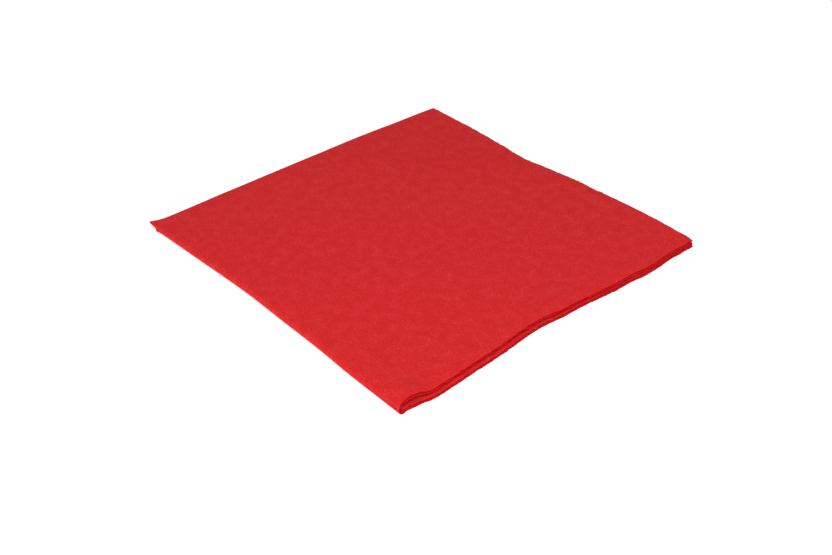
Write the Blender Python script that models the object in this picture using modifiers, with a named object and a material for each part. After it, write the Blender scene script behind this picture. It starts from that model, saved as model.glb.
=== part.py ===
"""A paper napkin, folded twice into a quarter, lying flat.

One square sheet of thick soft paper is folded in half, which lays two leaves on each other, and in
half again across that fold, which makes four layers. The folded square lies in the XY plane with its
underside at z = 0:

    -X  the first fold, crisp and straight: it joins layers 1 and 2, and layers 3 and 4
    -Y  the second fold, the spine: layers 1 and 4 go round it, with layers 2 and 3 nested inside
    +X  and +Y  the cut edges of all four layers

Layer 1 is the top one and layer 4 lies on the table. Lengths are in metres, and the tables are in mm.
"""
import math
from collections import namedtuple

import bmesh
import bpy
from mathutils import Vector

MM = 0.001

# Driving dimensions
SIDE = 0.200  # side of the folded square
PAPER = 0.0010  # thickness of one layer
AIR = 0.0004  # gap between two layers

# How finely a leaf and its folds are divided
LEAF_STEPS = 16
FIRST_FOLD_STEPS = 6
SPINE_STEPS = 8
EDGE_CROWDING = 0.65  # 0 spaces a leaf's rows evenly, and 1 crowds them at its two ends

# Sizes that follow from them
PITCH = PAPER + AIR
HEIGHT = 4 * PAPER + 3 * AIR
HALF = SIDE / 2
FIRST_FOLD_RADIUS = PITCH / 2
SPINE_RADIUS = PITCH
FIRST_FOLD_AXIS_X = -HALF + FIRST_FOLD_RADIUS + PAPER / 2
SPINE_AXIS_Y = -HALF + SPINE_RADIUS + FIRST_FOLD_RADIUS + PAPER / 2
MIDDLE_Z = HEIGHT / 2

# The four sides aren't straight. Each row is a place along a side and how far the side stands out past
# the true square there, in mm.
Row = namedtuple("Row", "along out")
CUT_SIDE_X = (
    Row(-100, -1.9), Row(-80, -1.5), Row(-60, -2.1), Row(-40, -3.3), Row(-22, -5.0), Row(-8, -5.6),
    Row(5, -4.3), Row(22, -2.7), Row(40, -1.9), Row(62, -1.0), Row(82, -1.4), Row(100, -0.6),
)
CUT_SIDE_Y = (
    Row(-100, 0.3), Row(-82, -0.2), Row(-60, -0.6), Row(-35, -2.0), Row(-19, -3.3), Row(-4, -1.3),
    Row(20, 0.8), Row(45, 1.8), Row(66, 2.5), Row(85, 2.1), Row(100, 0.7),
)
FIRST_FOLD_SIDE = (
    Row(-100, 2.2), Row(-88, 2.0), Row(-60, 2.4), Row(0, 2.5), Row(45, 2.3), Row(75, 1.3), Row(100, 0.1),
)
SPINE_SIDE = (
    Row(-100, 0.2), Row(-70, -0.7), Row(-22, -2.0), Row(10, -1.3), Row(40, -0.6), Row(60, 0.5),
    Row(100, 1.5),
)

# On the cut side +X the lower two layers stand out past the top two, as a ledge. Each row is a place
# along the side and how wide the ledge is there, in mm.
LEDGE = (
    Row(-100, 1.9), Row(-85, 2.1), Row(-60, 2.0), Row(-30, 1.9), Row(-8, 1.5), Row(15, 1.0), Row(50, 0.8),
    Row(80, 0.9), Row(100, 1.2),
)

# How far each layer's own cut edges stand out past the lines of the two cut sides, in mm
Layer = namedtuple("Layer", "past_x past_y")
LAYER_1 = Layer(0.0, 0.0)
LAYER_2 = Layer(0.3, -0.6)
LAYER_3 = Layer(0.0, 0.5)
LAYER_4 = Layer(0.2, -0.2)

# Places where the layers stand a little apart, the middle two most. Each row is a soft swelling: its
# middle, how far it reaches, and how far it lifts the top layer, in mm.
Swelling = namedtuple("Swelling", "x y reach_x reach_y lift")
SWELLINGS = (
    Swelling(102, -89, 22, 9, 2.0),
    Swelling(100, -8, 26, 22, 0.9),
    Swelling(97, 62, 30, 26, 0.3),
    Swelling(64, 101, 24, 16, 0.5),
    Swelling(-20, 8, 70, 60, 0.4),
    Swelling(10, -93, 60, 8, 0.3),
)

# At the closed corner the top two layers are drawn out into a point and the bottom two lie back, in mm
EAR_OUT_X = 1.4
EAR_BACK_X = 1.2
EAR_OUT_Y = 0.5
EAR_REACH = 6.5

COLLECTION_NAME = "paper napkin"
PAPER_COLOUR = (0.585, 0.024, 0.029, 1.0)
PAPER_ROUGHNESS = 0.92


def clear_scene():
    for obj in list(bpy.data.objects):
        bpy.data.objects.remove(obj, do_unlink=True)


def soft_step(value):
    """Rise from 0 to 1 with level ends."""
    value = min(1.0, max(0.0, value))
    return value * value * (3.0 - 2.0 * value)


def near_side(distance):
    """Rise from 0 halfway out from the middle to 1 at the side."""
    return soft_step(2.0 * distance / HALF - 1.0)


def side_line(rows, place):
    """Read a side's table at a place along it, on one smooth curve through its rows, in metres."""
    place = min(rows[-1].along, max(rows[0].along, place / MM))
    last = len(rows) - 1
    k = 0
    while k < last - 1 and place > rows[k + 1].along:
        k += 1
    start, end = rows[k], rows[k + 1]
    slopes = []
    for i in (k, k + 1):
        before, after = rows[max(0, i - 1)], rows[min(last, i + 1)]
        slopes.append((after.out - before.out) / (after.along - before.along))
    span = end.along - start.along
    t = (place - start.along) / span
    value = (
        (2 * t**3 - 3 * t**2 + 1) * start.out
        + (t**3 - 2 * t**2 + t) * span * slopes[0]
        + (3 * t**2 - 2 * t**3) * end.out
        + (t**3 - t**2) * span * slopes[1]
    )
    return value * MM


def leaf_rows():
    """Rows of one leaf, from 0 at its fold to 1 at its cut edge, closer together at both ends."""
    rows = []
    for i in range(LEAF_STEPS + 1):
        even = i / LEAF_STEPS
        crowded = (1.0 - math.cos(math.pi * even)) / 2
        rows.append((1.0 - EDGE_CROWDING) * even + EDGE_CROWDING * crowded)
    return rows


def rows_across_fold(fold_steps):
    """Rows from one cut edge, over a fold, to the other, as (place on the leaf, turn of the fold)."""
    leaf = leaf_rows()
    rows = [(place, 0.0) for place in reversed(leaf)]
    rows += [(0.0, i / fold_steps) for i in range(1, fold_steps)]
    rows += [(place, 1.0) for place in leaf]
    return rows


def between_layers(first, second, third, fourth, inner, deep):
    """Blend the four layers' values: inner is 1 on layers 2 and 3, and deep is 1 on layers 3 and 4."""
    top = first + (second - first) * inner
    bottom = fourth + (third - fourth) * inner
    return (top + (bottom - top) * deep) * MM


def lie_uneven(x, y, z, inner, deep):
    """Move a point of the true folded square to where it lies on the real, uneven one."""
    height_share = (z - PAPER / 2) / (HEIGHT - PAPER)
    past_x = between_layers(LAYER_1.past_x, LAYER_2.past_x, LAYER_3.past_x, LAYER_4.past_x, inner, deep)
    past_y = between_layers(LAYER_1.past_y, LAYER_2.past_y, LAYER_3.past_y, LAYER_4.past_y, inner, deep)

    move = Vector((0.0, 0.0, 0.0))
    move.x += near_side(x) * (side_line(CUT_SIDE_X, y) + past_x + deep * side_line(LEDGE, y))
    move.x -= near_side(-x) * side_line(FIRST_FOLD_SIDE, y)
    move.y += near_side(y) * (side_line(CUT_SIDE_Y, x) + past_y)
    move.y -= near_side(-y) * side_line(SPINE_SIDE, x)

    apart = soft_step((height_share - 0.1) / 0.9)
    for swelling in SWELLINGS:
        apart_x = (x / MM - swelling.x) / swelling.reach_x
        apart_y = (y / MM - swelling.y) / swelling.reach_y
        lift = math.exp(-(apart_x**2) - apart_y**2) * swelling.lift * MM
        move.z += lift * apart

    from_corner = math.hypot(x + HALF, y + HALF) / (EAR_REACH * MM)
    ear = math.exp(-(from_corner**2))
    move.x += ear * (EAR_BACK_X * deep - EAR_OUT_X * (1 - deep)) * MM
    move.y -= ear * height_share * EAR_OUT_Y * MM
    return Vector((x, y, z)) + move


def folded_place(across, along):
    """Where a point of the flat sheet lies once the sheet is folded twice."""
    place_x, inner = across
    place_y, deep = along
    x = (
        FIRST_FOLD_AXIS_X
        - FIRST_FOLD_RADIUS * math.sin(math.pi * inner)
        + place_x * (HALF - FIRST_FOLD_AXIS_X)
    )
    from_spine_axis = SPINE_RADIUS + FIRST_FOLD_RADIUS * math.cos(math.pi * inner)
    y = SPINE_AXIS_Y - from_spine_axis * math.sin(math.pi * deep) + place_y * (HALF - SPINE_AXIS_Y)
    z = MIDDLE_Z + from_spine_axis * math.cos(math.pi * deep)
    return lie_uneven(x, y, z, inner, deep)


def folded_sheet():
    """The paper's middle surface: a flat grid of rows, moved to its folded place."""
    across_rows = rows_across_fold(FIRST_FOLD_STEPS)
    along_rows = rows_across_fold(SPINE_STEPS)
    columns = len(across_rows) - 1
    lines = len(along_rows) - 1

    sheet = bmesh.new()
    bmesh.ops.create_grid(sheet, x_segments=columns, y_segments=lines, size=1.0)
    one_way, other_way = [], []
    for face in sheet.faces:
        middle = face.calc_center_median()
        same = (middle.x > 0) == (middle.y > 0)
        (one_way if same else other_way).append(face)
    # The diagonals of all four layers then lie over each other, so the layers keep their gaps
    bmesh.ops.triangulate(sheet, faces=one_way, quad_method="FIXED")
    bmesh.ops.triangulate(sheet, faces=other_way, quad_method="ALTERNATE")
    for vert in sheet.verts:
        i = round((vert.co.x + 1) / 2 * columns)
        j = round((vert.co.y + 1) / 2 * lines)
        vert.co = folded_place(across_rows[i], along_rows[j])
    bmesh.ops.recalc_face_normals(sheet, faces=sheet.faces)

    mesh = bpy.data.meshes.new("napkin")
    sheet.to_mesh(mesh)
    sheet.free()
    return mesh


def paper_material():
    material = bpy.data.materials.new("red paper")
    material.use_nodes = True
    shader = material.node_tree.nodes["Principled BSDF"]
    shader.inputs["Base Color"].default_value = PAPER_COLOUR
    shader.inputs["Roughness"].default_value = PAPER_ROUGHNESS
    shader.inputs["Metallic"].default_value = 0.0
    return material


def centre_over_footprint(obj):
    """Put the origin under the middle of the finished napkin, at the height of its underside."""
    graph = bpy.context.evaluated_depsgraph_get()
    finished = obj.evaluated_get(graph).data
    low = Vector([min(v.co[i] for v in finished.vertices) for i in range(3)])
    high = Vector([max(v.co[i] for v in finished.vertices) for i in range(3)])
    middle = (low + high) / 2
    for vert in obj.data.vertices:
        vert.co -= Vector((middle.x, middle.y, low.z))


def make_napkin(collection):
    napkin = bpy.data.objects.new("napkin", folded_sheet())
    napkin.data.materials.append(paper_material())
    collection.objects.link(napkin)
    thickness = napkin.modifiers.new("paper thickness", "SOLIDIFY")
    thickness.thickness = PAPER
    thickness.offset = 0.0
    centre_over_footprint(napkin)
    return napkin


def main():
    clear_scene()
    collection = bpy.data.collections.new(COLLECTION_NAME)
    bpy.context.scene.collection.children.link(collection)
    make_napkin(collection)


main()
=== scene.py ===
"""A red paper napkin, folded twice into a quarter, on a pale studio floor.

The sheet is made flat at its full size, folded over its first fold and then over its spine, given its
thickness, and its cut edges are roughened. Lengths are in metres, and the tables are in mm.

    -X  the first fold: it joins layers 1 and 2, and layers 3 and 4
    -Y  the second fold, the spine: layers 1 and 4 go round it, with layers 2 and 3 nested inside
    +X  and +Y  the cut edges of all four layers

Layer 1 is the top one and layer 4 lies on the floor.
"""

import math
from collections import namedtuple

import bmesh
import bpy
from bpy.props import FloatProperty, FloatVectorProperty, IntProperty, PointerProperty
from bpy.types import NodeSocket, Operator, Panel, PropertyGroup
from mathutils import Matrix, Vector, noise


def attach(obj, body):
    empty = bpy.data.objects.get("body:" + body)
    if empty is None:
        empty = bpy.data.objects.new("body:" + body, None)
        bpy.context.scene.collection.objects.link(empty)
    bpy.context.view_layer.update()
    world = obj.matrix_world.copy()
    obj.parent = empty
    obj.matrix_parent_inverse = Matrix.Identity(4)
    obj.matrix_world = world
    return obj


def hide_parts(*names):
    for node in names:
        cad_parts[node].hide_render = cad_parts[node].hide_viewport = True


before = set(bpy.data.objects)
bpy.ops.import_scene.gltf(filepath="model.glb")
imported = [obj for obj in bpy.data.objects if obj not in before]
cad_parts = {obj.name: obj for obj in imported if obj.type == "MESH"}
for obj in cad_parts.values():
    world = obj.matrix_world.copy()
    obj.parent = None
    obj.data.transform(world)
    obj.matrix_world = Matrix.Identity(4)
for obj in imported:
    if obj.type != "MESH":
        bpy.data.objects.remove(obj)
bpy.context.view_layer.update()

bl_info = {
    "name": "Folded paper napkin",
    "version": (1, 0, 0),
    "blender": (4, 5, 0),
    "location": "3D View > Sidebar > Napkin",
    "description": "Folds a paper napkin from its flat sheet and lays it on a pale floor",
    "category": "Add Mesh",
}

MM = 0.001
TINY = 1e-9  # a smaller length is only rounding

# The sheet's UV map, the attribute that says how strongly painted shade darkens the paper in its
# creases, and the material slot of the cut edges
FLAT_MAP = "flat sheet"
CREASE_SHADE = "crushed"
CUT_EDGE_SLOT = 1

# The tables below are about the middle of the true square. The finished napkin stands about the middle
# of its own box, which is this far from it, in mm.
BOX_MIDDLE_X = -1.265
BOX_MIDDLE_Y = 0.736

# How the flat sheet is divided: the rows next to a cut edge and next to a fold are listed, in mm
# from the edge or the fold, and the rows between them are even
ROWS_FROM_CUT_EDGE = (0.0, 0.6, 1.6, 3.0, 4.8)
ROWS_FROM_FOLD = (0.0, 0.5, 1.2, 2.2, 3.8)
EVEN_ROWS = 75
FIRST_FOLD_ROWS = 10
SPINE_ROWS = 32

# The strip along each cut edge is divided more finely, and so is the sheet round the dent, as far from
# it as this, in mm. A row may be off its place by the slack.
EDGE_CUTS = 3
DENT_CUTS = 11
DENT_CUTS_REACH_X = 7.5
DENT_CUTS_REACH_Y = 3.5
ROW_SLACK = 0.01

# The four sides aren't straight. Each row is a place along a side and how far the side stands out past
# the true square there, in mm.
Row = namedtuple("Row", "along out")
CUT_SIDE_X = (
    Row(-100, -1.5), Row(-95, -2.7), Row(-89.5, -2.3), Row(-85.8, -1.9), Row(-82.4, -1.1), Row(-78, -1.0),
    Row(-58, -2.3), Row(-40, -3.2), Row(-22, -4.9), Row(-8, -5.2), Row(5, -3.8), Row(14, -3.4),
    Row(22, -2.9), Row(40, -1.1), Row(52, -0.7), Row(63, 0.3), Row(70, 0.2), Row(82, -0.7), Row(91, -0.5),
    Row(100, -0.3),
)
CUT_SIDE_Y = (
    Row(-100, 0.3), Row(-82, -0.2), Row(-60, -0.6), Row(-35, -2.0), Row(-19, -3.3), Row(-4, -1.3),
    Row(20, 0.8), Row(45, 1.5), Row(66, 1.6), Row(85, 1.5), Row(100, 1.0),
)
FIRST_FOLD_SIDE = (
    Row(-100, 2.2), Row(-88, 2.0), Row(-60, 2.4), Row(0, 2.5), Row(45, 2.3), Row(75, 1.3), Row(100, 0.1),
)
SPINE_SIDE = (
    Row(-100, 0.2), Row(-70, -0.7), Row(-22, -2.0), Row(10, -1.3), Row(40, -0.6), Row(60, 0.5),
    Row(100, 1.5),
)

# On the cut side +X the lower two layers stand out past the top two, as a ledge, and near the open
# corner the second layer stands out past the first. Each row is a place along the side and how wide
# the ledge is there, in mm.
LEDGE = (
    Row(-100, 1.2), Row(-93, 1.9), Row(-85, 2.0), Row(-60, 2.0), Row(-30, 1.9), Row(-8, 1.5),
    Row(15, 1.0), Row(50, 0.8), Row(80, 0.7), Row(100, 0.4),
)
SECOND_LEDGE = (
    Row(-100, 0.1), Row(-92, 0.3), Row(-84, 0.3), Row(-74, 0.2), Row(-62, 0.1), Row(0, 0.1), Row(60, 0.3),
    Row(100, 0.4),
)

# How far each layer's own cut edges stand out past the lines of the two cut sides, in mm
Layer = namedtuple("Layer", "past_x past_y")
LAYERS = (Layer(0.0, 0.0), Layer(0.0, -0.6), Layer(0.0, -0.2), Layer(0.2, -0.6))

# Places where the layers stand a little apart, the middle two most. Each row is a soft swelling: its
# middle, how far it reaches, and how far it lifts the top layer, in mm. It doesn't lift the lowest
# share of the height.
Swelling = namedtuple("Swelling", "x y reach_x reach_y lift")
SWELLINGS = (
    Swelling(102, -91, 22, 6.5, 2.1),
    Swelling(100, -8, 26, 22, 0.4),
    Swelling(97, 62, 30, 26, 0.3),
    Swelling(64, 101, 24, 16, 0.5),
    Swelling(-20, 8, 70, 60, 0.4),
    Swelling(10, -93, 60, 8, 0.3),
)
NOT_LIFTED = 0.1

# Near the cut sides the gaps between the layers open and close again along the side. Each row is a
# gap, from the lowest to the highest: how far it opens, in mm, and which wave it follows. The wave's
# length and its reach in from the side are in mm, and the swing is its share of the opening.
Gap = namedtuple("Gap", "opens seed")
GAPS = (Gap(0.05, 21.62), Gap(0.1, 21.94), Gap(0.06, 21.68))
GAP_WAVE = 13.0
GAP_REACH = 30.0
GAP_SWING = 1.4

# The layers bend down a little towards the cut side +X: how far the top one drops, and over how long
# a stretch, in mm
EDGE_DROP = 0.33
EDGE_DROP_REACH = 5.0

# Soft cockles of the whole pile of layers: how long the waves are and how high, in mm
Cockle = namedtuple("Cockle", "length height seed")
COCKLES = (Cockle(26.0, 0.12, 3.1), Cockle(9.0, 0.05, 8.6))

# Each cut edge strays in and out in a slow and a fast wave: its length, in mm, and its share. They fade
# over a few mm into the sheet. Every one of the sheet's four edges has a seed of its own.
Wave = namedtuple("Wave", "length share seed")
EDGE_WAVES = (Wave(3.2, 1.0, 0.5), Wave(1.1, 0.8, 4.5))
EDGE_WAVE_FADE = 1.3
SEED_ACROSS = 2.7
SEED_ALONG = 11.9
SEED_FAR_SIDE = 5.3

# A cut face is divided across the paper's thickness, and has a nap of two sizes of tuft: how large, in
# mm, its share, and where its pattern starts. The rim of the face has a share of the nap.
CUT_FACE_CUTS = 2
Tuft = namedtuple("Tuft", "size share start")
NAP_TUFTS = (Tuft(0.45, 0.6, 0.0), Tuft(0.9, 0.7, 7.1))
NAP_ON_RIM = 0.6

# The closed corner: the top two layers are drawn out into a point and the bottom two lie back, in mm.
# The one goes over into the other between two turns of the spine.
EAR_OUT_X = 3.3
EAR_BACK_X = 4.8
EAR_OUT_Y = 1.0
EAR_DROOP = 0.5
EAR_REACH = 4.6
EAR_FIRST_TURN = 0.09
EAR_LAST_TURN = 0.21

# A thin crease runs along the spine's face near its two ends. Each row is where it starts and ends
# along the spine and how deep it is, in mm, and at which turn of the fold it starts and ends. Its width
# is in turns, it fades over some mm at its ends, and where it goes right through, the painted shade that
# darkens it is this strong.
Crease = namedtuple("Crease", "start end depth first_turn last_turn")
SPINE_CREASES = (Crease(66, 104, 0.6, 0.62, 0.42), Crease(-104, -80, 0.35, 0.46, 0.52))
CREASE_WIDTH = 0.06
CREASE_FADE = 8.0
CREASE_SHADE_STRENGTH = 1.2

# A small dent by the back cut edge of the top layer: a narrow curved crease, into which the paper is
# gathered, and past which the edge is pressed down. The crease runs along x, and its ends bend towards
# the edge. Each row of the two tables is a place across it and how far the paper moves there, along y
# and upwards, in mm. Painted shade darkens the paper on a line just past its middle.
DENT_X = 33.4
DENT_Y = 97.3
DENT_BEND = 0.072
DENT_REACH = 5.2
DENT_SHIFT = (
    Row(-3, 0), Row(-1, 0.2), Row(-0.6, 0.1), Row(-0.25, 0), Row(0.25, -0.05), Row(0.6, -0.25),
    Row(1, -0.2), Row(3, 0),
)
DENT_HEIGHT = (
    Row(-3, 0), Row(-1, 0.12), Row(-0.6, 0.12), Row(-0.25, -0.55), Row(0.25, -0.66), Row(0.6, -0.36),
    Row(1, -0.27), Row(3, -0.22),
)
DENT_SHADE_AT = 0.35
DENT_SHADE_WIDTH = 0.6

# The dent moves what faces up at least this much, down to this share of the top layer's thickness
FACES_UP = 0.5
UPPER_SIDE = 0.4

# The camera: where it stands, in mm, with its height over the top layer, where it looks from, in
# degrees, and its lens and sensor, in mm
CAMERA_X = 427.6
CAMERA_Y = -384.3
CAMERA_OVER_TOP = 369.625
CAMERA_AZIMUTH = 48.244
CAMERA_ELEVATION = 34.785
CAMERA_LENS = 56.243
CAMERA_SENSOR = 36.0

# The two soft lights: which setting holds the power, how wide the light is and where it stands, in
# metres, and the azimuth and elevation that it shines from, in degrees
SoftBox = namedtuple("SoftBox", "name power width place azimuth elevation")
SOFT_BOXES = (
    SoftBox("key light", "key_power", 0.45, (0.463, -0.268, 0.482), 60.0, 42.0),
    SoftBox("fill light", "fill_power", 0.6, (-0.096, -1.098, 0.689), -5.0, 32.0),
)
FLOOR_REACH = 3.0  # from the middle of the floor to its sides, in metres


def linear(hex_colour):
    """Turn an sRGB hex colour into linear light, with an alpha of 1."""
    channels = [int(hex_colour[i : i + 2], 16) / 255 for i in (1, 3, 5)]
    return tuple(c / 12.92 if c <= 0.04045 else ((c + 0.055) / 1.055) ** 2.4 for c in channels) + (1.0,)


class NapkinSizes(PropertyGroup):
    side: FloatProperty(
        name="Folded side", description="Side of the folded square", default=0.2, min=0.1, max=0.3,
        unit="LENGTH",
    )
    paper: FloatProperty(
        name="Paper", description="Thickness of one layer", default=0.00084, min=0.0001, max=0.001,
        unit="LENGTH",
    )
    pair_air: FloatProperty(
        name="Air in a pair", description="Gap between the two layers that the first fold joins",
        default=0.00012, min=0.0001, max=0.002, unit="LENGTH",
    )
    middle_air: FloatProperty(
        name="Air in the middle", description="Gap between the second and the third layer",
        default=0.00025, min=0.0001, max=0.002, unit="LENGTH",
    )
    edge_wave: FloatProperty(
        name="Edge wave", description="How far a cut edge strays in and out over a few mm",
        default=0.00027, min=0.0, max=0.0004, unit="LENGTH",
    )
    edge_nap: FloatProperty(
        name="Edge nap", description="How rough the cut face of a layer is",
        default=0.00022, min=0.0, max=0.0004, unit="LENGTH",
    )
    edge_bulge: FloatProperty(
        name="Edge bulge", description="How far the middle of a layer's cut face stands out",
        default=0.00012, min=0.0, max=0.0004, unit="LENGTH",
    )
    fibre_length: FloatProperty(
        name="Fibre length", description="Length of a loose fibre on the cut edges",
        default=0.0008, min=0.0002, max=0.003, unit="LENGTH",
    )
    fibre_thickness: FloatProperty(
        name="Fibre thickness", description="Thickness of a loose fibre",
        default=0.00005, min=0.00001, max=0.0002, unit="LENGTH",
    )
    fibres_per_mm: FloatProperty(
        name="Fibres per mm", description="Loose fibres on each square millimetre of cut face",
        default=1.3, min=0.0, max=4.0,
    )
    seed: IntProperty(name="Seed", description="Which pattern of loose fibres is made", default=4, min=0)


class NapkinColours(PropertyGroup):
    paper: FloatVectorProperty(
        name="Paper", description="The paper's own red", subtype="COLOR", size=4, min=0.0, max=1.0,
        default=linear("#BC080D"),
    )
    paper_deep: FloatVectorProperty(
        name="Paper, thin places", description="The paper where its pulp lies thin", subtype="COLOR",
        size=4, min=0.0, max=1.0, default=linear("#B50004"),
    )
    paper_pale: FloatVectorProperty(
        name="Paper, thick places", description="The paper where its fibres lie dense", subtype="COLOR",
        size=4, min=0.0, max=1.0, default=linear("#C2242A"),
    )
    cut_edge: FloatVectorProperty(
        name="Cut edge", description="The pulp seen at the cut edges", subtype="COLOR", size=4,
        min=0.0, max=1.0, default=linear("#BE080B"),
    )
    # Partly the pulp's deeper red and partly painted shade of the hollows and of the cut face
    cut_edge_deep_and_shade: FloatVectorProperty(
        name="Cut edge, hollows", description="The small hollows of the cut edges", subtype="COLOR",
        size=4, min=0.0, max=1.0, default=linear("#7C0204"),
    )
    pale_fleck: FloatVectorProperty(
        name="Pale fleck", description="Fibres that took less dye", subtype="COLOR", size=4, min=0.0,
        max=1.0, default=linear("#E65A5D"),
    )
    dark_fleck: FloatVectorProperty(
        name="Dark fleck", description="Specks that took more dye", subtype="COLOR", size=4, min=0.0,
        max=1.0, default=linear("#8C1216"),
    )
    # Painted shade that darkens the paper in its creases
    crushed: FloatVectorProperty(
        name="Creased paper", description="The paper where a crease crushes its fibres", subtype="COLOR",
        size=4, min=0.0, max=1.0, default=linear("#98040A"),
    )
    floor: FloatVectorProperty(
        name="Floor", description="The studio floor", subtype="COLOR", size=4, min=0.0, max=1.0,
        default=linear("#FDFDFD"),
    )


class NapkinStudio(PropertyGroup):
    key_power: FloatProperty(
        name="Key light", description="Power of the large soft light in front on the right", default=3.5,
        min=0.0, unit="POWER",
    )
    fill_power: FloatProperty(
        name="Fill light", description="Power of the weaker soft light in front on the left", default=4.8,
        min=0.0, unit="POWER",
    )
    room_light: FloatProperty(
        name="Room light", description="Strength of the even white light all round", default=0.605,
        min=0.0, max=3.0,
    )
    floor_light: FloatProperty(
        name="Floor light", description="Strength of the light that comes through the floor",
        default=0.18, min=0.0, max=2.0,
    )


# What the folds come to, in metres
Folding = namedtuple(
    "Folding",
    "half paper height first_radius spine_radius first_axis_x spine_axis_y middle_z"
    " first_half_bend spine_half_bend",
)


def folding_of(sizes):
    """Work out the fold's radii, axes and lengths from the napkin's sizes."""
    half = sizes.side / 2
    first_radius = (sizes.paper + sizes.pair_air) / 2
    spine_radius = first_radius + (sizes.paper + sizes.middle_air) / 2
    height = 4 * sizes.paper + 2 * sizes.pair_air + sizes.middle_air
    return Folding(
        half=half,
        paper=sizes.paper,
        height=height,
        first_radius=first_radius,
        spine_radius=spine_radius,
        first_axis_x=-half + first_radius + sizes.paper / 2,
        spine_axis_y=-half + spine_radius + first_radius + sizes.paper / 2,
        middle_z=height / 2,
        first_half_bend=math.pi * first_radius / 2,
        spine_half_bend=math.pi * spine_radius / 2,
    )


def soft_step(value):
    """Rise from 0 to 1 with level ends."""
    value = min(1.0, max(0.0, value))
    return value * value * (3.0 - 2.0 * value)


def hump(value, reach):
    """Fall from 1 at the middle to nearly 0 at twice the reach."""
    return math.exp(-((value / reach) ** 2))


def near_side(distance, half):
    """Rise from 0 halfway out from the middle to 1 at the side."""
    return soft_step(2 * distance / half - 1)


def wander(x, y, seed):
    """A smooth random number from -1 to 1 that is the same each time for the same place."""
    return noise.noise(Vector((x, y, seed)))


def side_line(rows, place):
    """Read a side's table at a place along it, on one smooth curve through its rows, in metres."""
    place = min(rows[-1].along, max(rows[0].along, place / MM))
    last = len(rows) - 1
    k = 0
    while k < last - 1 and place > rows[k + 1].along:
        k += 1
    start, end = rows[k], rows[k + 1]
    slopes = []
    for i in (k, k + 1):
        before, after = rows[max(0, i - 1)], rows[min(last, i + 1)]
        slopes.append((after.out - before.out) / (after.along - before.along))
    span = end.along - start.along
    t = (place - start.along) / span
    value = (
        (2 * t**3 - 3 * t**2 + 1) * start.out
        + (t**3 - 2 * t**2 + t) * span * slopes[0]
        + (3 * t**2 - 2 * t**3) * end.out
        + (t**3 - t**2) * span * slopes[1]
    )
    return value * MM


def between_layers(first, second, third, fourth, inner, deep):
    """Blend the four layers' values: inner is 1 on layers 2 and 3, and deep is 1 on layers 3 and 4."""
    top = first + (second - first) * inner
    bottom = fourth + (third - fourth) * inner
    return top + (bottom - top) * deep


def sheet_rows(side, half_bend, bend_rows):
    """Rows of the flat sheet from one cut edge to the other, in metres from its middle line."""
    from_cut = [row * MM for row in ROWS_FROM_CUT_EDGE]
    from_fold = [row * MM for row in ROWS_FROM_FOLD]
    fold_end = side - half_bend
    first_even = from_cut[-1]
    last_even = fold_end - from_fold[-1]
    even = [first_even + (last_even - first_even) * i / EVEN_ROWS for i in range(1, EVEN_ROWS)]
    leaf = from_cut + even + [fold_end - row for row in reversed(from_fold)]
    outward = [side - row for row in leaf]
    bend = [half_bend * (1 - 2 * i / bend_rows) for i in range(1, bend_rows)]
    return [-row for row in outward] + [-row for row in bend] + list(reversed(outward))


def flat_sheet(sizes, folding):
    """The whole sheet, flat, with close rows where it is folded, cut and dented."""
    across_rows = sheet_rows(sizes.side, folding.first_half_bend, FIRST_FOLD_ROWS)
    along_rows = sheet_rows(sizes.side, folding.spine_half_bend, SPINE_ROWS)
    columns = len(across_rows) - 1
    lines = len(along_rows) - 1

    sheet = bmesh.new()
    bmesh.ops.create_grid(sheet, x_segments=columns, y_segments=lines, size=1.0)
    for vert in sheet.verts:
        i = round((vert.co.x + 1) / 2 * columns)
        j = round((vert.co.y + 1) / 2 * lines)
        vert.co = Vector((across_rows[i], along_rows[j], 0.0))

    edge_strip = (ROWS_FROM_CUT_EDGE[1] + ROW_SLACK) * MM
    along_cut = []
    for edge in sheet.edges:
        a, b = (vert.co for vert in edge.verts)
        beside_x_cut = abs(a.x - b.x) < TINY and sizes.side - abs(a.x) < edge_strip
        beside_y_cut = abs(a.y - b.y) < TINY and sizes.side - abs(a.y) < edge_strip
        if beside_x_cut or beside_y_cut:
            along_cut.append(edge)
    bmesh.ops.subdivide_edges(
        sheet, edges=along_cut, cuts=EDGE_CUTS, use_grid_fill=True, use_single_edge=True
    )

    dent_across = -(folding.half + DENT_X * MM)
    dent_along = -(folding.half + DENT_Y * MM)
    around_dent = []
    for edge in sheet.edges:
        middle = (edge.verts[0].co + edge.verts[1].co) / 2
        near_across = abs(middle.x - dent_across) < DENT_CUTS_REACH_X * MM
        near_along = abs(middle.y - dent_along) < DENT_CUTS_REACH_Y * MM
        if near_across and near_along and sizes.side - abs(middle.y) > edge_strip:
            around_dent.append(edge)
    bmesh.ops.subdivide_edges(
        sheet, edges=around_dent, cuts=DENT_CUTS, use_grid_fill=True, use_single_edge=True
    )

    flat_map = sheet.loops.layers.uv.new(FLAT_MAP)
    for face in sheet.faces:
        for loop in face.loops:
            loop[flat_map].uv = (
                (loop.vert.co.x / sizes.side + 1) / 2,
                (loop.vert.co.y / sizes.side + 1) / 2,
            )
    return sheet


def along_sheet(flat, side, half_bend):
    """Read a flat distance from the middle line as (place on the leaf, turn of the fold)."""
    place = max(0.0, abs(flat) - half_bend) / (side - half_bend)
    turn = min(1.0, max(0.0, 0.5 + flat / (2 * half_bend)))
    return place, turn


def cut_edge_wave(flat_x, flat_y, sizes):
    """How far the cut edges stray out at a place of the flat sheet, in x and in y."""
    out = []
    for across, along, seed in ((flat_x, flat_y, SEED_ACROSS), (flat_y, flat_x, SEED_ALONG)):
        fade = math.exp(-(sizes.side - abs(across)) / (EDGE_WAVE_FADE * MM))
        edge_seed = seed + (SEED_FAR_SIDE if across > 0 else 0.0)
        waves = sum(
            wave.share * wander(along / (wave.length * MM), edge_seed, wave.seed) for wave in EDGE_WAVES
        )
        out.append(fade * sizes.edge_wave * waves)
    return out


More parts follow.
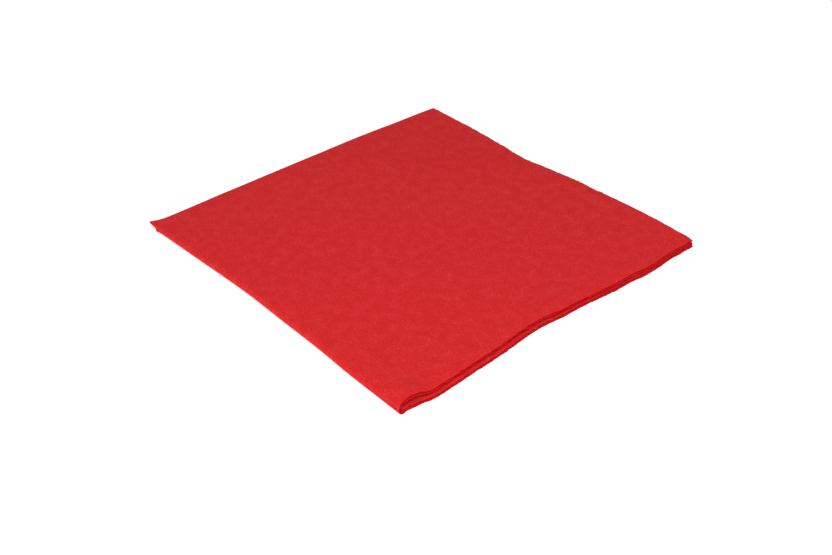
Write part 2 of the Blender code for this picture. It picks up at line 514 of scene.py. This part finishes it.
def layer_lifts(x, y, folding):
    """How far each layer, from the first to the fourth, is lifted by uneven gaps below it, in mm."""
    near_x = soft_step(1 - (folding.half - x) / (GAP_REACH * MM))
    near_y = soft_step(1 - (folding.half - y) / (GAP_REACH * MM))
    near = max(near_x, near_y)
    wave = GAP_WAVE * MM
    low, middle, high = (
        near * gap.opens * (1 + GAP_SWING * wander(x / wave, y / wave, gap.seed)) for gap in GAPS
    )
    return low + middle + high, low + middle, low, 0.0


def dent_move(x, y):
    """How far the small dent moves a place of the top layer's upper side, and how strongly painted shade
    darkens it there.
    """
    apart_x = x / MM - DENT_X
    past_line = y - (DENT_Y + DENT_BEND * apart_x**2) * MM
    here = math.exp(-((apart_x / DENT_REACH) ** 4))
    move = Vector((0.0, side_line(DENT_SHIFT, past_line), side_line(DENT_HEIGHT, past_line)))
    return move * here, here * hump(past_line / MM - DENT_SHADE_AT, DENT_SHADE_WIDTH)


def lie_uneven(point, inner, deep, folding):
    """Move a point of the true folded square to where it lies on the real, uneven one."""
    x, y, z = point
    half = folding.half
    height_share = (z - folding.paper / 2) / (folding.height - folding.paper)
    past_x = between_layers(*(layer.past_x for layer in LAYERS), inner, deep) * MM
    past_y = between_layers(*(layer.past_y for layer in LAYERS), inner, deep) * MM
    ledge = deep * side_line(LEDGE, y) + inner * (1 - deep) * side_line(SECOND_LEDGE, y)

    move = Vector((0.0, 0.0, 0.0))
    move.x += near_side(x, half) * (side_line(CUT_SIDE_X, y) + past_x + ledge)
    move.x -= near_side(-x, half) * side_line(FIRST_FOLD_SIDE, y)
    move.y += near_side(y, half) * (side_line(CUT_SIDE_Y, x) + past_y)
    move.y -= near_side(-y, half) * side_line(SPINE_SIDE, x)

    apart = soft_step((height_share - NOT_LIFTED) / (1 - NOT_LIFTED))
    for swelling in SWELLINGS:
        reach = hump(x / MM - swelling.x, swelling.reach_x) * hump(y / MM - swelling.y, swelling.reach_y)
        move.z += reach * swelling.lift * MM * apart
    for cockle in COCKLES:
        length = cockle.length * MM
        move.z += wander(x / length, y / length, cockle.seed) * cockle.height * MM * height_share
    move.z += between_layers(*layer_lifts(x, y, folding), inner, deep) * MM
    past_bend = max(0.0, 1 - (half - x) / (EDGE_DROP_REACH * MM))
    move.z -= past_bend**2 * EDGE_DROP * MM * height_share

    ear = hump(math.hypot(x + half, y + half), EAR_REACH * MM)
    back = soft_step((deep - EAR_FIRST_TURN) / (EAR_LAST_TURN - EAR_FIRST_TURN))
    move.x += ear * (EAR_BACK_X * back - EAR_OUT_X * (1 - back)) * MM
    move.y -= ear * height_share * EAR_OUT_Y * MM
    move.z -= ear * height_share * EAR_DROOP * MM
    return Vector((x, y, z)) + move


def crease_depth(x, inner, deep):
    """How deep the spine's creases are at a place of the outer layers, in metres."""
    depth = 0.0
    for crease in SPINE_CREASES:
        starts = soft_step((x / MM - crease.start) / CREASE_FADE)
        ends = soft_step((crease.end - x / MM) / CREASE_FADE)
        way = min(1.0, max(0.0, (x / MM - crease.start) / (crease.end - crease.start)))
        at_turn = crease.first_turn + (crease.last_turn - crease.first_turn) * way
        depth += hump(deep - at_turn, CREASE_WIDTH) * starts * ends * crease.depth * MM * (1 - inner)
    return depth


def folded_place(flat_x, flat_y, sizes, folding):
    """Where a point of the flat sheet lies once it is folded twice, and its share of the thickness."""
    place_x, inner = along_sheet(flat_x, sizes.side, folding.first_half_bend)
    place_y, deep = along_sheet(flat_y, sizes.side, folding.spine_half_bend)
    x = (
        folding.first_axis_x
        - folding.first_radius * math.sin(math.pi * inner)
        + place_x * (folding.half - folding.first_axis_x)
    )
    from_spine_axis = folding.spine_radius + folding.first_radius * math.cos(math.pi * inner)
    # A crease is pressed into the outer side alone, so the paper is thinner there
    pressed = crease_depth(x, inner, deep)
    from_spine_axis -= pressed / 2
    y = (
        folding.spine_axis_y
        - from_spine_axis * math.sin(math.pi * deep)
        + place_y * (folding.half - folding.spine_axis_y)
    )
    z = folding.middle_z + from_spine_axis * math.cos(math.pi * deep)
    out_x, out_y = cut_edge_wave(flat_x, flat_y, sizes)
    placed = lie_uneven(Vector((x, y, z)), inner, deep, folding)
    return placed + Vector((out_x, out_y, 0.0)), 1 - pressed / sizes.paper


def real_mesh(maker, mesh_name):
    """Make an object's modifiers real in a new mesh, and take the object away."""
    bpy.context.view_layer.update()
    graph = bpy.context.evaluated_depsgraph_get()
    mesh = bpy.data.meshes.new_from_object(maker.evaluated_get(graph), depsgraph=graph)
    mesh.name = mesh_name
    old_mesh = maker.data
    bpy.data.objects.remove(maker, do_unlink=True)
    bpy.data.meshes.remove(old_mesh)
    return mesh


def roughen_cut_faces(shape, sizes):
    """Divide the cut faces across the paper's thickness, round them and give them a rough nap."""
    cut_faces = [face for face in shape.faces if face.material_index == CUT_EDGE_SLOT]
    through = {
        edge for face in cut_faces for edge in face.edges
        if all(other.material_index == CUT_EDGE_SLOT for other in edge.link_faces)
    }
    bmesh.ops.subdivide_edges(shape, edges=list(through), cuts=CUT_FACE_CUTS, use_grid_fill=True)

    shape.normal_update()
    moves = {}
    for vert in shape.verts:
        own = [face for face in vert.link_faces if face.material_index == CUT_EDGE_SLOT]
        if not own:
            continue
        outward = sum((face.normal for face in own), Vector())
        outward.z = 0.0
        if outward.length < TINY:
            continue
        outward.normalize()
        in_middle = len(own) == len(vert.link_faces)
        at = vert.co / MM
        nap = sum(
            noise.noise(at / tuft.size + Vector((tuft.start, 0, 0))) * tuft.share for tuft in NAP_TUFTS
        )
        out = sizes.edge_bulge * in_middle + sizes.edge_nap * nap * (1.0 if in_middle else NAP_ON_RIM)
        moves[vert] = outward * out
    for vert, move in moves.items():
        vert.co += move


def press_dent(shape, folding):
    """Press the small dent into the top layer's upper side, and note where painted shade darkens the
    paper in its creases.
    """
    thickness_share = shape.verts.layers.deform.active
    crushed = shape.verts.layers.float.new(CREASE_SHADE)
    upper_side = folding.height - UPPER_SIDE * folding.paper
    for vert in shape.verts:
        # Painted shade darkens the spine's creases as far as they thin the paper, and the dent's crease
        # line
        vert[crushed] = CREASE_SHADE_STRENGTH * (1 - vert[thickness_share].get(0, 1.0))
        if vert.co.z > upper_side and vert.normal.z > FACES_UP:
            x, y = vert.co.x + BOX_MIDDLE_X * MM, vert.co.y + BOX_MIDDLE_Y * MM
            move, shade_here = dent_move(x, y)
            vert.co += move
            vert[crushed] = max(vert[crushed], shade_here)


def fold_sheet(context):
    """Make the folded napkin's finished object."""
    sizes = context.scene.napkin_sizes
    folding = folding_of(sizes)
    sheet = flat_sheet(sizes, folding)
    weights = sheet.verts.layers.deform.verify()
    for vert in sheet.verts:
        vert.co, vert[weights][0] = folded_place(vert.co.x, vert.co.y, sizes, folding)
    bmesh.ops.translate(
        sheet, verts=sheet.verts, vec=Vector((-BOX_MIDDLE_X * MM, -BOX_MIDDLE_Y * MM, 0.0))
    )
    middle_surface = bpy.data.meshes.new("middle surface")
    sheet.to_mesh(middle_surface)
    sheet.free()

    maker = bpy.data.objects.new("folding", middle_surface)
    middle_surface.materials.append(air_laid_paper(context.scene.napkin_colours, sizes.side))
    middle_surface.materials.append(cut_pulp(context.scene.napkin_colours))
    context.scene.collection.objects.link(maker)
    thickness = maker.modifiers.new("paper thickness", "SOLIDIFY")
    thickness.thickness = sizes.paper
    thickness.offset = 0.0
    thickness.vertex_group = maker.vertex_groups.new(name="share of thickness").name
    thickness.material_offset_rim = CUT_EDGE_SLOT
    mesh = real_mesh(maker, "folded_paper")

    shape = bmesh.new()
    shape.from_mesh(mesh)
    roughen_cut_faces(shape, sizes)
    press_dent(shape, folding)
    for face in shape.faces:
        face.smooth = True
    shape.to_mesh(mesh)
    shape.free()
    napkin = bpy.data.objects.new("folded_paper", mesh)
    context.scene.collection.objects.link(napkin)
    return napkin


def add_node(tree, kind, inputs=None, **settings):
    """Add a node with its settings, and give each input a value or link it to a socket."""
    node = tree.nodes.new(kind)
    for name, value in settings.items():
        setattr(node, name, value)
    for name, value in (inputs or {}).items():
        if isinstance(value, NodeSocket):
            tree.links.new(value, node.inputs[name])
        else:
            node.inputs[name].default_value = value
    return node


# The pattern of the paper: how wide its clouds of thicker and thinner pulp and its tufts of fibres are,
# and how long and thick a fibre is drawn, in mm. Real fibres are 0.03 mm thick, and at that thickness
# none would show, so they are drawn as the small bundles that they lie in.
CLOUD = 6.0
TUFT = 0.9
STREAK_LENGTH = 3.0
STREAK_THICKNESS = 0.35

# The fibres lie in three ways. Each is turned by an angle, and its pattern starts at its own place.
Streak = namedtuple("Streak", "turn start")
STREAKS = (Streak(0.35, 0.0), Streak(1.4, 40.0), Streak(2.5, 80.0))

# How much the clouds, the tufts and the streaks each sway the paper's colour, the values at which they
# don't, and the middle of the ramp, which has the paper's own red
CLOUD_SWAY = 1.2
TUFT_SWAY = 2.2
STREAK_SWAY = 2.0
NOISE_MIDDLE = 0.5
STREAK_MIDDLE = 0.61
RAMP_MIDDLE = 0.5

# Pale and dark flecks: how far apart they lie, in mm, how large they are as a share of that, where
# their pattern starts, and which colour they have
Fleck = namedtuple("Fleck", "apart size start colour")
FLECKS = (
    Fleck(5.2, 0.05, (0.0, 0.0, 0.0), "pale_fleck"),
    Fleck(4.6, 0.06, (51.0, 17.0, 0.0), "dark_fleck"),
)
FLECK_CORE = 0.4  # the share of a fleck's size that has its full strength
FLECK_STRENGTH = 0.22


def air_laid_paper(colours, side):
    """Air-laid paper: short cellulose fibres laid by air, bonded soft and dyed in the pulp."""
    # It is matt and a little cloudy, with fine short streaks where fibres lie and a few pale and dark
    # flecks, and its creases are darkened with painted shade. Light that goes into it comes out a little
    # way off, which softens its small relief.
    material = bpy.data.materials.new("air-laid paper")
    material.use_nodes = True
    tree = material.node_tree
    shader = tree.nodes["Principled BSDF"]
    flat = add_node(tree, "ShaderNodeUVMap", uv_map=FLAT_MAP)
    # The flat map runs from 0 to 1 over the flat sheet, so this turns it into millimetres
    in_mm = add_node(
        tree, "ShaderNodeVectorMath", {0: flat.outputs["UV"], "Scale": 2 * side / MM}, operation="SCALE"
    ).outputs["Vector"]

    clouds = add_node(
        tree, "ShaderNodeTexNoise", {"Vector": in_mm, "Scale": 1 / CLOUD, "Detail": 2.0, "Roughness": 0.5}
    ).outputs["Fac"]
    tufts = add_node(
        tree, "ShaderNodeTexNoise", {"Vector": in_mm, "Scale": 1 / TUFT, "Detail": 3.0, "Roughness": 0.6}
    ).outputs["Fac"]
    streaks = None
    for streak in STREAKS:
        turned = add_node(
            tree,
            "ShaderNodeMapping",
            {
                "Vector": in_mm,
                "Location": (streak.start, streak.start / 3, 0.0),
                "Rotation": (0.0, 0.0, streak.turn),
                "Scale": (1 / STREAK_LENGTH, 1 / STREAK_THICKNESS, 1.0),
            },
        ).outputs["Vector"]
        one_way = add_node(
            tree, "ShaderNodeTexNoise", {"Vector": turned, "Scale": 1.0, "Detail": 1.0}
        ).outputs["Fac"]
        if streaks is None:
            streaks = one_way
        else:
            streaks = add_node(
                tree, "ShaderNodeMath", {0: streaks, 1: one_way}, operation="MAXIMUM"
            ).outputs[0]

    cloud_part, tuft_part, streak_part = (
        add_node(
            tree, "ShaderNodeMath", {0: pattern, 1: sway, 2: -sway * middle}, operation="MULTIPLY_ADD"
        ).outputs[0]
        for pattern, sway, middle in (
            (clouds, CLOUD_SWAY, NOISE_MIDDLE),
            (tufts, TUFT_SWAY, NOISE_MIDDLE),
            (streaks, STREAK_SWAY, STREAK_MIDDLE),
        )
    )
    two_parts = add_node(
        tree, "ShaderNodeMath", {0: cloud_part, 1: tuft_part}, operation="ADD"
    ).outputs[0]
    density = add_node(
        tree, "ShaderNodeMath", {0: two_parts, 1: streak_part}, operation="ADD"
    ).outputs[0]
    around_middle = add_node(
        tree, "ShaderNodeMath", {0: density, 1: RAMP_MIDDLE}, operation="ADD", use_clamp=True
    ).outputs[0]
    ramp = add_node(tree, "ShaderNodeValToRGB", {"Fac": around_middle})
    ramp.color_ramp.elements[0].color = colours.paper_deep
    ramp.color_ramp.elements[1].color = colours.paper_pale
    ramp.color_ramp.elements.new(RAMP_MIDDLE).color = colours.paper

    paper = ramp.outputs["Color"]
    for fleck in FLECKS:
        shifted = add_node(
            tree, "ShaderNodeVectorMath", {0: in_mm, 1: fleck.start}, operation="ADD"
        ).outputs["Vector"]
        from_spot = add_node(
            tree, "ShaderNodeTexVoronoi", {"Vector": shifted, "Scale": 1 / fleck.apart},
            voronoi_dimensions="2D",
        ).outputs["Distance"]
        here = add_node(
            tree,
            "ShaderNodeMapRange",
            {
                "Value": from_spot,
                "From Min": fleck.size,
                "From Max": fleck.size * FLECK_CORE,
                "To Min": 0.0,
                "To Max": FLECK_STRENGTH,
            },
        ).outputs["Result"]
        paper = add_node(
            tree, "ShaderNodeMix", {"Factor": here, "A": paper, "B": getattr(colours, fleck.colour)},
            data_type="RGBA",
        ).outputs["Result"]
    # Painted shade: where the paper is creased, its colour is darkened towards a deeper red
    crushed = add_node(tree, "ShaderNodeAttribute", attribute_name=CREASE_SHADE).outputs["Fac"]
    crease_shaded = add_node(
        tree, "ShaderNodeMix", {"Factor": crushed, "A": paper, "B": colours.crushed}, data_type="RGBA"
    ).outputs["Result"]
    tree.links.new(crease_shaded, shader.inputs["Base Color"])

    shader.inputs["Metallic"].default_value = 0.0
    shader.inputs["IOR"].default_value = 1.5
    shader.inputs["Specular IOR Level"].default_value = 0.38
    # Light goes a little way into the pulp, the red furthest
    shader.inputs["Subsurface Weight"].default_value = 0.35
    shader.inputs["Subsurface Radius"].default_value = (1.0, 0.12, 0.12)
    shader.inputs["Subsurface Scale"].default_value = 0.7 * MM
    dull = add_node(
        tree, "ShaderNodeMapRange", {"Value": tufts, "To Min": 0.96, "To Max": 0.82}
    ).outputs["Result"]
    tree.links.new(dull, shader.inputs["Roughness"])
    relief = add_node(tree, "ShaderNodeMath", {0: tufts, 1: streak_part}, operation="ADD").outputs[0]
    bump = add_node(
        tree, "ShaderNodeBump", {"Height": relief, "Strength": 0.35, "Distance": 0.12 * MM}
    ).outputs["Normal"]
    tree.links.new(bump, shader.inputs["Normal"])
    return material


# How wide a fibre end is on a cut edge and how far apart the pale ones lie, in mm. How large those are,
# with and without their soft rim, is a share of how far apart they lie.
FIBRE_END = 0.7
PALE_ENDS_APART = 2.2
PALE_END = 0.16
PALE_END_CORE = 0.06
PALE_END_STRENGTH = 0.6


def cut_pulp(colours):
    """The cut edge of air-laid paper: loose pulp, sheared by the knife."""
    # Light sinks between its open fibres, so it is deeper and more saturated than the face, with
    # small hollows and a few pale fibre ends. Its dark colour is partly this deeper red and partly
    # painted shade, in its hollows and over the whole cut face.
    material = bpy.data.materials.new("cut pulp")
    material.use_nodes = True
    tree = material.node_tree
    shader = tree.nodes["Principled BSDF"]
    place = add_node(tree, "ShaderNodeTexCoord").outputs["Object"]
    in_mm = add_node(
        tree, "ShaderNodeVectorMath", {0: place, "Scale": 1 / MM}, operation="SCALE"
    ).outputs["Vector"]
    ends = add_node(
        tree, "ShaderNodeTexNoise",
        {"Vector": in_mm, "Scale": 1 / FIBRE_END, "Detail": 3.0, "Roughness": 0.65},
    ).outputs["Fac"]
    # The ramp darkens the hollows and the cut face as a whole: partly the pulp's deeper red, partly
    # painted shade
    ramp = add_node(tree, "ShaderNodeValToRGB", {"Fac": ends})
    ramp.color_ramp.elements[0].position = 0.3
    ramp.color_ramp.elements[0].color = colours.cut_edge_deep_and_shade
    ramp.color_ramp.elements[1].position = 0.72
    ramp.color_ramp.elements[1].color = colours.cut_edge
    from_end = add_node(
        tree, "ShaderNodeTexVoronoi", {"Vector": in_mm, "Scale": 1 / PALE_ENDS_APART}
    ).outputs["Distance"]
    pale_end = add_node(
        tree,
        "ShaderNodeMapRange",
        {
            "Value": from_end,
            "From Min": PALE_END,
            "From Max": PALE_END_CORE,
            "To Min": 0.0,
            "To Max": PALE_END_STRENGTH,
        },
    ).outputs["Result"]
    flecked = add_node(
        tree, "ShaderNodeMix", {"Factor": pale_end, "A": ramp.outputs["Color"], "B": colours.pale_fleck},
        data_type="RGBA",
    ).outputs["Result"]
    tree.links.new(flecked, shader.inputs["Base Color"])
    shader.inputs["Metallic"].default_value = 0.0
    shader.inputs["Roughness"].default_value = 0.95
    shader.inputs["Subsurface Weight"].default_value = 0.3
    shader.inputs["Subsurface Radius"].default_value = (1.0, 0.1, 0.1)
    shader.inputs["Subsurface Scale"].default_value = 0.8 * MM
    shader.inputs["IOR"].default_value = 1.5
    shader.inputs["Specular IOR Level"].default_value = 0.0
    bump = add_node(
        tree, "ShaderNodeBump", {"Height": ends, "Strength": 0.8, "Distance": 0.35 * MM}
    ).outputs["Normal"]
    tree.links.new(bump, shader.inputs["Normal"])
    return material


# The colour changes from fibre to fibre, over about this many mm
FIBRE_TONE = 1.5


def loose_fibre(colours):
    """Single dyed cellulose fibres."""
    # One fibre is thin and lets light through, so it is paler than the sheet
    material = bpy.data.materials.new("loose cellulose fibre")
    material.use_nodes = True
    tree = material.node_tree
    shader = tree.nodes["Principled BSDF"]
    place = add_node(tree, "ShaderNodeTexCoord").outputs["Object"]
    tone = add_node(
        tree, "ShaderNodeTexNoise", {"Vector": place, "Scale": 1 / (FIBRE_TONE * MM), "Detail": 1.0}
    ).outputs["Fac"]
    ramp = add_node(tree, "ShaderNodeValToRGB", {"Fac": tone})
    ramp.color_ramp.elements[0].position = 0.35
    ramp.color_ramp.elements[0].color = colours.paper
    ramp.color_ramp.elements[1].position = 0.75
    ramp.color_ramp.elements[1].color = colours.pale_fleck
    tree.links.new(ramp.outputs["Color"], shader.inputs["Base Color"])
    shader.inputs["Roughness"].default_value = 0.8
    shader.inputs["IOR"].default_value = 1.5
    shader.inputs["Specular IOR Level"].default_value = 0.1
    return material


# The bends of three kinds of fibre: start, middle and end, in lengths of a fibre
Bend = namedtuple("Bend", "start middle end")
FIBRE_BENDS = (
    Bend((0.0, 0.0, -0.15), (0.08, 0.0, 0.4), (0.0, 0.12, 0.85)),
    Bend((0.0, 0.0, -0.15), (0.1, 0.1, 0.55), (0.6, 0.0, 0.6)),
    Bend((0.0, 0.0, -0.15), (-0.25, 0.0, 0.45), (0.35, 0.3, 0.35)),
)
FIBRE_SIDES = 3
FIBRE_STEPS = 4
SHORTEST_FIBRE = 0.45  # this and the longest are shares of a fibre's length
LONGEST_FIBRE = 1.35


def fibre_nodes(sizes, material):
    """Nodes that strew loose fibres over a surface, as one real mesh."""
    tree = bpy.data.node_groups.new("loose fibres", "GeometryNodeTree")
    tree.interface.new_socket(name="Geometry", in_out="INPUT", socket_type="NodeSocketGeometry")
    tree.interface.new_socket(name="Geometry", in_out="OUTPUT", socket_type="NodeSocketGeometry")
    surface = add_node(tree, "NodeGroupInput").outputs["Geometry"]
    strewn = add_node(
        tree,
        "GeometryNodeDistributePointsOnFaces",
        {"Mesh": surface, "Density": sizes.fibres_per_mm / MM**2, "Seed": sizes.seed},
        distribute_method="RANDOM",
    )
    round_profile = add_node(
        tree, "GeometryNodeCurvePrimitiveCircle",
        {"Resolution": FIBRE_SIDES, "Radius": sizes.fibre_thickness / 2},
    ).outputs["Curve"]
    kinds = add_node(tree, "GeometryNodeGeometryToInstance")
    for bend in FIBRE_BENDS:
        line = add_node(
            tree,
            "GeometryNodeCurveQuadraticBezier",
            {
                "Resolution": FIBRE_STEPS,
                "Start": Vector(bend.start) * sizes.fibre_length,
                "Middle": Vector(bend.middle) * sizes.fibre_length,
                "End": Vector(bend.end) * sizes.fibre_length,
            },
        ).outputs["Curve"]
        fibre = add_node(
            tree, "GeometryNodeCurveToMesh",
            {"Curve": line, "Profile Curve": round_profile, "Fill Caps": True},
        ).outputs["Mesh"]
        tree.links.new(fibre, kinds.inputs["Geometry"])
    lean = add_node(
        tree, "FunctionNodeRandomValue",
        {"Min": (-1.0, -1.0, -math.pi), "Max": (1.0, 1.0, math.pi), "Seed": sizes.seed + 1},
        data_type="FLOAT_VECTOR",
    ).outputs["Value"]
    lean_turn = add_node(tree, "FunctionNodeEulerToRotation", {"Euler": lean}).outputs["Rotation"]
    turned = add_node(
        tree, "FunctionNodeRotateRotation",
        {"Rotation": strewn.outputs["Rotation"], "Rotate By": lean_turn},
        rotation_space="LOCAL",
    ).outputs["Rotation"]
    growth = add_node(
        tree, "FunctionNodeRandomValue", {"Seed": sizes.seed + 2}, data_type="FLOAT"
    )
    growth.inputs[2].default_value = SHORTEST_FIBRE
    growth.inputs[3].default_value = LONGEST_FIBRE
    placed = add_node(
        tree,
        "GeometryNodeInstanceOnPoints",
        {
            "Points": strewn.outputs["Points"],
            "Instance": kinds.outputs["Instances"],
            "Pick Instance": True,
            "Rotation": turned,
            "Scale": growth.outputs[1],
        },
    ).outputs["Instances"]
    real = add_node(tree, "GeometryNodeRealizeInstances", {"Geometry": placed}).outputs["Geometry"]
    finished = add_node(
        tree, "GeometryNodeSetMaterial", {"Geometry": real, "Material": material}
    ).outputs["Geometry"]
    add_node(tree, "NodeGroupOutput", {"Geometry": finished})
    return tree


def strew_edge_fibres(context, napkin):
    """Loose fibres that stand off the napkin's cut edges."""
    sizes = context.scene.napkin_sizes
    cut_faces = bmesh.new()
    cut_faces.from_mesh(napkin.data)
    not_cut = [face for face in cut_faces.faces if face.material_index != CUT_EDGE_SLOT]
    bmesh.ops.delete(cut_faces, geom=not_cut, context="FACES")
    mesh = bpy.data.meshes.new("cut faces")
    cut_faces.to_mesh(mesh)
    cut_faces.free()
    maker = bpy.data.objects.new("strewing", mesh)
    context.scene.collection.objects.link(maker)
    strewing = maker.modifiers.new("loose fibres", "NODES")
    strewing.node_group = fibre_nodes(sizes, loose_fibre(context.scene.napkin_colours))
    fibres = bpy.data.objects.new("edge_fibres", real_mesh(maker, "edge_fibres"))
    # A fibre that would dip into the floor lies on it
    for vert in fibres.data.vertices:
        vert.co.z = max(vert.co.z, sizes.fibre_thickness)
    context.scene.collection.objects.link(fibres)
    return fibres


class NAPKIN_OT_fold(Operator):
    """Fold the paper napkin from its flat sheet, with its loose edge fibres"""

    bl_idname = "napkin.fold"
    bl_label = "Fold the napkin"

    def execute(self, context):
        napkin = fold_sheet(context)
        fibres = strew_edge_fibres(context, napkin)
        for piece in (napkin, fibres):
            if not piece.data.polygons:
                raise RuntimeError(piece.name + " came out empty")
            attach(piece, "root")
        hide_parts("napkin")
        return {"FINISHED"}


def opal_white_acrylic(colours, floor_light):
    """Opal white acrylic: the matt top of a light table, lit a little from below."""
    # It gives an almost white ground whose shadows are faint, with no gloss of its own
    material = bpy.data.materials.new("opal white acrylic")
    material.use_nodes = True
    shader = material.node_tree.nodes["Principled BSDF"]
    shader.inputs["Base Color"].default_value = colours.floor
    shader.inputs["Roughness"].default_value = 1.0
    shader.inputs["Specular IOR Level"].default_value = 0.0
    shader.inputs["Emission Color"].default_value = colours.floor
    shader.inputs["Emission Strength"].default_value = floor_light
    return material


def aim(obj, place, azimuth, elevation):
    """Stand an object at a place with its back to an azimuth and an elevation, in degrees."""
    turn, rise = math.radians(azimuth), math.radians(elevation)
    back = Vector((math.sin(turn) * math.cos(rise), -math.cos(turn) * math.cos(rise), math.sin(rise)))
    right = Vector((math.cos(turn), math.sin(turn), 0.0))
    axes = Matrix((right, back.cross(right), back)).transposed()
    obj.matrix_world = Matrix.Translation(place) @ axes.to_4x4()


class NAPKIN_OT_stage(Operator):
    """Lay the pale floor, set the soft studio light and stand the camera"""

    bl_idname = "napkin.stage"
    bl_label = "Set the stage"

    def execute(self, context):
        scene = context.scene
        studio = scene.napkin_studio
        ground = bmesh.new()
        bmesh.ops.create_grid(ground, x_segments=1, y_segments=1, size=FLOOR_REACH)
        mesh = bpy.data.meshes.new("studio_floor")
        ground.to_mesh(mesh)
        ground.free()
        mesh.materials.append(opal_white_acrylic(scene.napkin_colours, studio.floor_light))
        floor = bpy.data.objects.new("studio_floor", mesh)
        scene.collection.objects.link(floor)

        for soft_box in SOFT_BOXES:
            lamp = bpy.data.lights.new(soft_box.name, "AREA")
            lamp.shape = "DISK"
            lamp.size = soft_box.width
            lamp.energy = getattr(studio, soft_box.power)
            light = bpy.data.objects.new(soft_box.name, lamp)
            scene.collection.objects.link(light)
            aim(light, Vector(soft_box.place), soft_box.azimuth, soft_box.elevation)

        world = bpy.data.worlds.new("white room")
        world.use_nodes = True
        background = world.node_tree.nodes["Background"]
        background.inputs["Color"].default_value = (1.0, 1.0, 1.0, 1.0)
        background.inputs["Strength"].default_value = studio.room_light
        scene.world = world
        scene.view_settings.view_transform = "Standard"

        lens = bpy.data.cameras.new("camera")
        lens.lens = CAMERA_LENS
        lens.sensor_width = CAMERA_SENSOR
        camera = bpy.data.objects.new("camera", lens)
        scene.collection.objects.link(camera)
        top = folding_of(scene.napkin_sizes).height
        place = Vector((CAMERA_X * MM, CAMERA_Y * MM, CAMERA_OVER_TOP * MM + top))
        aim(camera, place, CAMERA_AZIMUTH, CAMERA_ELEVATION)
        scene.camera = camera
        return {"FINISHED"}


class NAPKIN_PT_panel(Panel):
    """The napkin's sizes, colours and stage"""

    bl_idname = "NAPKIN_PT_panel"
    bl_label = "Paper napkin"
    bl_space_type = "VIEW_3D"
    bl_region_type = "UI"
    bl_category = "Napkin"

    def draw(self, context):
        layout = self.layout
        scene = context.scene
        for group in (scene.napkin_sizes, scene.napkin_colours, scene.napkin_studio):
            column = layout.column(align=True)
            for name in group.__annotations__:
                column.prop(group, name)
        layout.operator(NAPKIN_OT_fold.bl_idname)
        layout.operator(NAPKIN_OT_stage.bl_idname)


CLASSES = (NapkinSizes, NapkinColours, NapkinStudio, NAPKIN_OT_fold, NAPKIN_OT_stage, NAPKIN_PT_panel)


def register():
    for cls in CLASSES:
        bpy.utils.register_class(cls)
    bpy.types.Scene.napkin_sizes = PointerProperty(type=NapkinSizes)
    bpy.types.Scene.napkin_colours = PointerProperty(type=NapkinColours)
    bpy.types.Scene.napkin_studio = PointerProperty(type=NapkinStudio)


def unregister():
    del bpy.types.Scene.napkin_studio
    del bpy.types.Scene.napkin_colours
    del bpy.types.Scene.napkin_sizes
    for cls in reversed(CLASSES):
        bpy.utils.unregister_class(cls)


def main():
    register()
    bpy.ops.napkin.fold()
    bpy.ops.napkin.stage()


if __name__ == "__main__":
    main()
